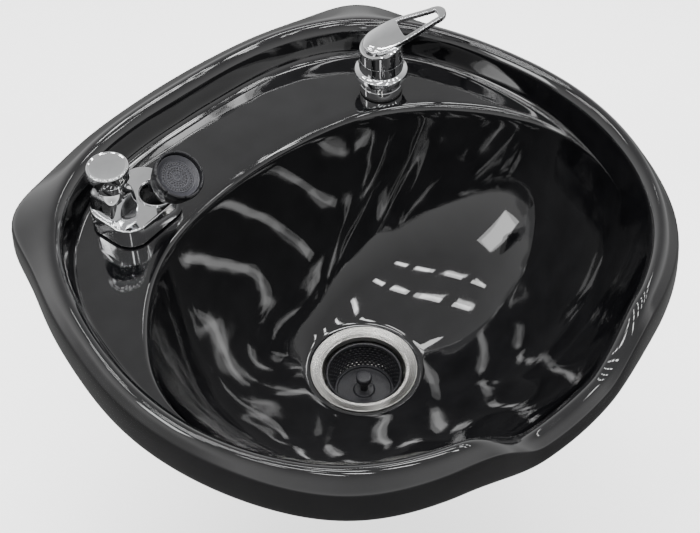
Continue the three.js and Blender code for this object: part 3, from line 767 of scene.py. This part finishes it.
def crossover():
    """The tube under the deck that feeds the breaker from the faucet."""
    low = UNDER_DECK - 75
    start = (FAUCET[0], FAUCET[1] + 6.4)
    bend = 22
    route = [
        (*start, DECK_Z + PIVOT - 20), (*start, UNDER_DECK - 25), (*start, low + bend),
        (*start, low), (start[0] - bend, start[1], low),
        ((start[0] + HUB[0]) / 2, (start[1] + HUB[1]) / 2, low),
        (HUB[0] + bend, HUB[1], low), (*HUB, low), (*HUB, low + bend), (*HUB, TAIL_Z - 6),
    ]
    dress(tube("crossover", route, 4.2), COPPER, "basin", "crossover_tube")
    nut = hex_nut("crossover_union", 7.8, 18, TAIL_Z - 14, TAIL_Z + 8, at(*HUB))
    dress(nut, BRASS, "basin", "crossover_nut")


# ---------- vacuum breaker ----------
HUB_H = 38                     # from the base plate to the hub's top
# Half width, corner radius and height of each loop of the hub.
HUB_LOOPS = (
    (12, 5, 0.3), (17.3, 5.6, 0.3), (17.8, 6, 0.8), (17.8, 6, 2), (17.3, 6.2, 8), (16.4, 6.8, 19),
    (16.1, 7.6, 21), (15.6, 9.6, 22.6), (15, 12.4, 24.4), (14.6, 14, 26.4), (14.4, 14.2, 27),
    (14, 13.9, HUB_H - 0.4), (13.6, 13.5, HUB_H), (11, 10.9, HUB_H), (11, 10.9, HUB_H - 14),
)
SEAL_INSET = 2.5
MOUTH_R = 17.8                 # hole in the base plate for the spray head's holder


def base_plate():
    """The breaker's chrome base on its seal."""
    place = at(PLATE["x"], PLATE["y"], 0, PLATE["turn"])
    width, depth, corner = PLATE["width"], PLATE["depth"], PLATE["corner"]
    inset = rounded_rectangle(width - 2 * SEAL_INSET, depth - 2 * SEAL_INSET, corner - SEAL_INSET)
    seal = prism("plate_seal", inset, DECK_Z + GAP, DECK_Z + 1.7, place, 0.2)
    dress(seal, RUBBER, "basin", "base_gasket")
    mouth = place.inverted() @ Vector((*WELL, 0))
    outline = rounded_rectangle(width, depth, corner)
    holes = [circle(MOUTH_R, mouth.x, mouth.y)]
    plate = prism("plate", outline, DECK_Z + 2, PLATE_Z, place, 1.6, holes)
    dress(plate, CHROME, "basin", "base_plate")


def breaker():
    """The hub that tapers from a rounded square to a round neck, its cap and its float."""
    place = at(*HUB, PLATE_Z, PLATE["turn"])
    loops = [[(x, y, z) for x, y in rounded_rectangle(2 * half, 2 * half, corner, 6)]
             for half, corner, z in HUB_LOOPS]
    faces = joined(len(loops), len(loops[0]), closed=False)
    hub = mesh_object("hub", [point for loop in loops for point in loop], faces, place)
    shade(hub, 40)
    dress(hub, CHROME, "basin", "breaker_hub")
    seat = ring("float_seat", 6.5, 10.8, HUB_H - 15.7, HUB_H - 14, place)
    dress(seat, RUBBER, "basin", "breaker_seat")
    cap = turned("cap", [
        (0, HUB_H - 10), (3, HUB_H - 10), (3, HUB_H - 1), (10.6, HUB_H - 1), (10.6, HUB_H + 1.5),
        (19.3, HUB_H + 1.5), (20.2, HUB_H + 1.9), (20.5, HUB_H + 2.6), (20.5, HUB_H + 13.4),
        (20.3, HUB_H + 14.4), (19.7, HUB_H + 15.1), (18.9, HUB_H + 15.4), (18.1, HUB_H + 15.2),
        (17.4, HUB_H + 14.9), (16.6, HUB_H + 14.8), (0, HUB_H + 15),
    ], place, 128, 0.2)
    dress(cap, CHROME, "basin", "breaker_cap")
    poppet = turned("float", [
        (3.3, HUB_H - 13.7), (9.5, HUB_H - 13.7), (9.5, HUB_H - 11.2), (5, HUB_H - 9),
        (3.3, HUB_H - 9),
    ], place)
    dress(poppet, ACETAL, "poppet", "breaker_poppet")


def shank(name, x, y, top):
    """A threaded shank through the deck with its washer and nut."""
    place = at(x, y)
    tail = turned(f"{name}_pipe", [
        (4.6, TAIL_Z), *thread(TAIL_Z, UNDER_DECK, 7.4), (7.4, top), (4.6, top),
    ], place, 64, 0)
    dress(tail, BRASS, "basin", f"{name}_shank")
    washer = ring(f"{name}_ring", 7.7, 13, UNDER_DECK - 1.8, UNDER_DECK - GAP, place)
    dress(washer, ZINC, "basin", f"{name}_washer")
    nut = hex_nut(f"{name}_hex", 7.7, 21, UNDER_DECK - 9.3, UNDER_DECK - 2.1, place)
    dress(nut, BRASS, "basin", f"{name}_nut")


# ---------- spray head ----------
BEZEL_TOP = 57                 # along the spray head's own axis
NOZZLE_RINGS = ((6.8, 14), (9.2, 20), (13.9, 32), (17.9, 40))           # radius and count
NOZZLE = ((0.75, 49.3), (0.5, 50.3), (0.28, 50.3), (0.22, 49.8))        # radius and height
NOZZLE_SIDES = 8


def spray_matrix():
    """The spray head's own axes: +Z out of its holder."""
    turn = Vector((0, 0, 1)).rotation_difference(SPRAY_LEAN).to_matrix().to_4x4()
    return Matrix.Translation(SPRAY) @ turn


def nozzles(place):
    """Rings of small nozzles on the spray face."""
    vertices, faces = [], []
    skin = joined(len(NOZZLE), NOZZLE_SIDES, closed=False)
    for radius, count in NOZZLE_RINGS:
        for x, y in circle(radius, sides=count):
            start = len(vertices)
            for reach, height in NOZZLE:
                vertices += [(u, v, height) for u, v in circle(reach, x, y, NOZZLE_SIDES)]
            faces += [tuple(start + corner for corner in face) for face in skin]
            faces.append(tuple(range(len(vertices) - NOZZLE_SIDES, len(vertices))))
    tips = mesh_object("nozzles", vertices, faces, place)
    tips.data.shade_smooth()
    dress(tips, RUBBER, "spray")


def spray():
    """The spray head in its leaning holder."""
    place = spray_matrix()
    holder = turned("holder", [
        (15.5, -14), (17.5, -14), (17.5, 0.3), (19.3, 0.3), (19.3, 0.9), (18.9, 1.5), (18.4, 1.5),
        (17.4, -0.3), (16.2, -3.2), (15.5, -6.5),
    ], at(*WELL, PLATE_Z), 96, 0.1)
    dress(holder, CHROME, "basin", "spray_holder")
    neck = turned("neck", [(5.2, -46), (7.5, -46), (7.5, 12.5), (5.2, 12.5)], place)
    dress(neck, PLASTIC, "spray", "spray_neck")
    ferrule = turned("ferrule", [
        (5.2, -74), (6.6, -74), (8.4, -70), (8.4, -46.3), (5.2, -46.3),
    ], place)
    dress(ferrule, CHROME, "spray", "hose_ferrule")
    bell = turned("bell", [
        (0, 12.8), (11.5, 12.8), (12.2, 14.5), (13.8, 19), (16, 24), (19, 29.5), (21.4, 34),
        (22.8, 38.5), (23.2, 42), (23.4, 48), (21.6, 48), (21.6, 40), (0, 40),
    ], place, 128, 0.3)
    dress(bell, PLASTIC, "spray", "spray_bell")
    face = turned("face", [
        (0, 40.3), (21.2, 40.3), (21.3, 52.6), (20.4, 52.2), (18.6, 50.6), (17, 49.6), (16.4, 49.4),
        (16.1, 49.9), (15.7, 49.9), (15.5, 49.5), (12.4, 49.5), (12.2, 49.9), (11.8, 49.9),
        (11.6, 49.5),
        (5, 49.5), (4.7, 50), (2.4, 50), (2.1, 49.5), (0, 49.5),
    ], place, 96, 0.1)
    dress(face, FACE_PLASTIC, "spray", "spray_face")
    nozzles(place)
    bezel = turned("bezel", [
        (21.7, 48.3), (24.6, 48.3), (25, 49), (25, BEZEL_TOP - 2), (24.4, BEZEL_TOP - 0.6),
        (23.4, BEZEL_TOP), (22.5, BEZEL_TOP - 0.4), (21.9, BEZEL_TOP - 2),
    ], place, 192, 0)
    press_in(bezel, place, 23, 50, notch_depth)
    dress(bezel, PLASTIC, "spray", "spray_bezel")


def notch_depth(angle):
    """Depth of the eight small notches in the bezel's outer edge."""
    turn = (math.degrees(angle) - 22.5) % 45
    offset = min(turn, 45 - turn)
    return 1.5 * math.exp(-((offset / 2.2) ** 2))


# ---------- wall fixing ----------
BRACKET_TOP, BRACKET_THICK = 30, 4
BOARD = {"width": 210, "back": -23, "front": -49}
SCREW_XS = (-80, 0, 80)


def wall_fixing():
    """The timber block under the deck, the steel angle that carries it, and the screws."""
    screw_y = (BOARD["back"] + BOARD["front"]) / 2
    half_depth = (BOARD["back"] - BOARD["front"]) / 2
    corners = rectangle(BOARD["width"] / 2, half_depth)
    block = prism("block", corners, BRACKET_TOP + GAP, UNDER_DECK - GAP, at(0, screw_y), 0.8)
    dress(block, TIMBER, "basin", "backing_board")
    finish_node("wall_bracket", ZINC)
    for number, x in enumerate(SCREW_XS, 1):
        head_top = BRACKET_TOP - BRACKET_THICK - GAP
        screw = turned(f"lag_screw_{number}", [
            (0, head_top - 5), (6.2, head_top - 5), (6.5, head_top - 4.2), (6.5, head_top),
            (3, head_top), *thread(head_top + 1, BRACKET_TOP + 24, 3, 2.4, 0.8),
            (0, BRACKET_TOP + 28),
        ], at(x, screw_y), 48, 0)
        dress(screw, ZINC, "basin", f"bracket_screw_{number}")


def finish_node(name, material):
    """Gives a CAD node that keeps its shape a finish and softer edges."""
    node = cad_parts[name]
    node.data.materials.clear()
    node.data.materials.append(material)
    round_edges(node, 0.5, 2, 35)


# ---------- camera, floor and light ----------
# The camera, the floor and the lights are in metres.
AIM = Vector((-3, -313, 50)) * MM
AZIMUTH, ELEVATION, ROLL = math.radians(-43.35), math.radians(48.59), math.radians(-0.65)
DISTANCE = 1.4825


def camera():
    """The view from in front and to the left, above the rim."""
    data = bpy.data.cameras.new("camera")
    data.lens = 78.2
    data.sensor_width = 36
    data.shift_x = -0.0226
    eye = bpy.data.objects.new("camera", data)
    outward = Vector((math.sin(AZIMUTH), -math.cos(AZIMUTH), 0))
    back = outward * math.cos(ELEVATION) + Vector((0, 0, math.sin(ELEVATION)))
    level = Vector((math.cos(AZIMUTH), math.sin(AZIMUTH), 0))
    upright = back.cross(level)
    right = level * math.cos(ROLL) + upright * math.sin(ROLL)
    up = upright * math.cos(ROLL) - level * math.sin(ROLL)
    eye.matrix_world = Matrix((
        (right.x, up.x, back.x, AIM.x + back.x * DISTANCE),
        (right.y, up.y, back.y, AIM.y + back.y * DISTANCE),
        (right.z, up.z, back.z, AIM.z + back.z * DISTANCE),
        (0, 0, 0, 1)))
    bpy.context.collection.objects.link(eye)
    bpy.context.scene.camera = eye


def panel(name, place, aim, size, power):
    """A soft rectangular light."""
    data = bpy.data.lights.new(name, "AREA")
    data.shape = "RECTANGLE"
    data.size, data.size_y = size
    data.energy = power
    light = bpy.data.objects.new(name, data)
    light.location = place
    light.rotation_euler = (Vector(aim) - Vector(place)).to_track_quat("-Z", "Y").to_euler()
    bpy.context.collection.objects.link(light)
    return light


# Brightness of the sky from straight down (0) through the horizon (0.5) to straight up (1).
SKY = [(0, 0.12), (0.35, 0.2), (0.46, 0.45), (0.53, 1.1), (0.65, 0.95), (0.86, 0.5)]
FLOOR_REACH, FLOOR_DEPTH = 8, 0.3        # half its side, and how far under the unit it lies
# A grid of small lamps, whose reflections are the short streaks in the gloss.
LAMPS_X, LAMPS_Y, LAMPS_Z = (-1.6, -0.95, -0.3, 0.35, 1.0, 1.65), (-1.5, -0.5, 0.5, 1.5), 2.3
LAMP_SIZE, LAMP_POWER = (0.1, 0.62), 3.2


def pale_floor():
    """A plain pale floor, left out of the gloss."""
    material, nodes, links, shader = new_material("floor")
    speck = noise(nodes, links, 3, 2)
    links.new(ramp(nodes, links, speck, 0.86, 0.9), shader.inputs["Base Color"])
    shader.inputs["Roughness"].default_value = 0.8
    z = (cad_box[0][2] - FLOOR_DEPTH) / MM
    reach = FLOOR_REACH / MM
    floor = mesh_object("floor", [(x, y, z) for x, y in rectangle(reach, reach)], [(0, 1, 2, 3)])
    floor.data.materials.append(material)
    floor.visible_glossy = False


def pale_sky():
    """A sky that is brightest just over the horizon."""
    world = bpy.data.worlds.new("sky")
    bpy.context.scene.world = world
    world.use_nodes = True
    nodes, links = world.node_tree.nodes, world.node_tree.links
    coordinates = nodes.new("ShaderNodeTexCoord")
    split = nodes.new("ShaderNodeSeparateXYZ")
    links.new(coordinates.outputs["Generated"], split.inputs["Vector"])
    level = nodes.new("ShaderNodeMapRange")
    level.inputs["From Min"].default_value = -1
    links.new(split.outputs["Z"], level.inputs["Value"])
    blend = nodes.new("ShaderNodeValToRGB")
    stops = blend.color_ramp.elements
    stops[0].position, stops[1].position = SKY[0][0], SKY[-1][0]
    for position, _ in SKY[1:-1]:
        stops.new(position)
    for stop, (_, value) in zip(stops, SKY):
        stop.color = (value, value, value, 1)
    links.new(level.outputs["Result"], blend.inputs["Fac"])
    links.new(blend.outputs["Color"], nodes["Background"].inputs["Color"])
    nodes["Background"].inputs["Strength"].default_value = 1.0


def lamps():
    """The grid of lamps, a window and a wide soft light overhead that is left out of the gloss."""
    for x in LAMPS_X:
        for y in LAMPS_Y:
            is_back_right = x > 0 and y > 1
            if not is_back_right:
                panel(f"lamp_{x}_{y}", (x, y, LAMPS_Z), (x, y, 0), LAMP_SIZE, LAMP_POWER)
    panel("window", (-2.6, 0.6, 1.5), (0, -0.3, 0), (0.8, 0.9), 16)
    overhead = panel("overhead", (0, -0.3, 3.0), (0, -0.3, 0), (4, 4), 620)
    overhead.visible_glossy = False


camera()
basin()
drain()
basket()
faucet()
faucet_cap()
lever()
supplies()
crossover()
base_plate()
breaker()
shank("inlet", *HUB, PLATE_Z - 0.5)
shank("outlet", *OUTLET, PLATE_Z - 8.5)
spray()
wall_fixing()
pale_floor()
pale_sky()
lamps()
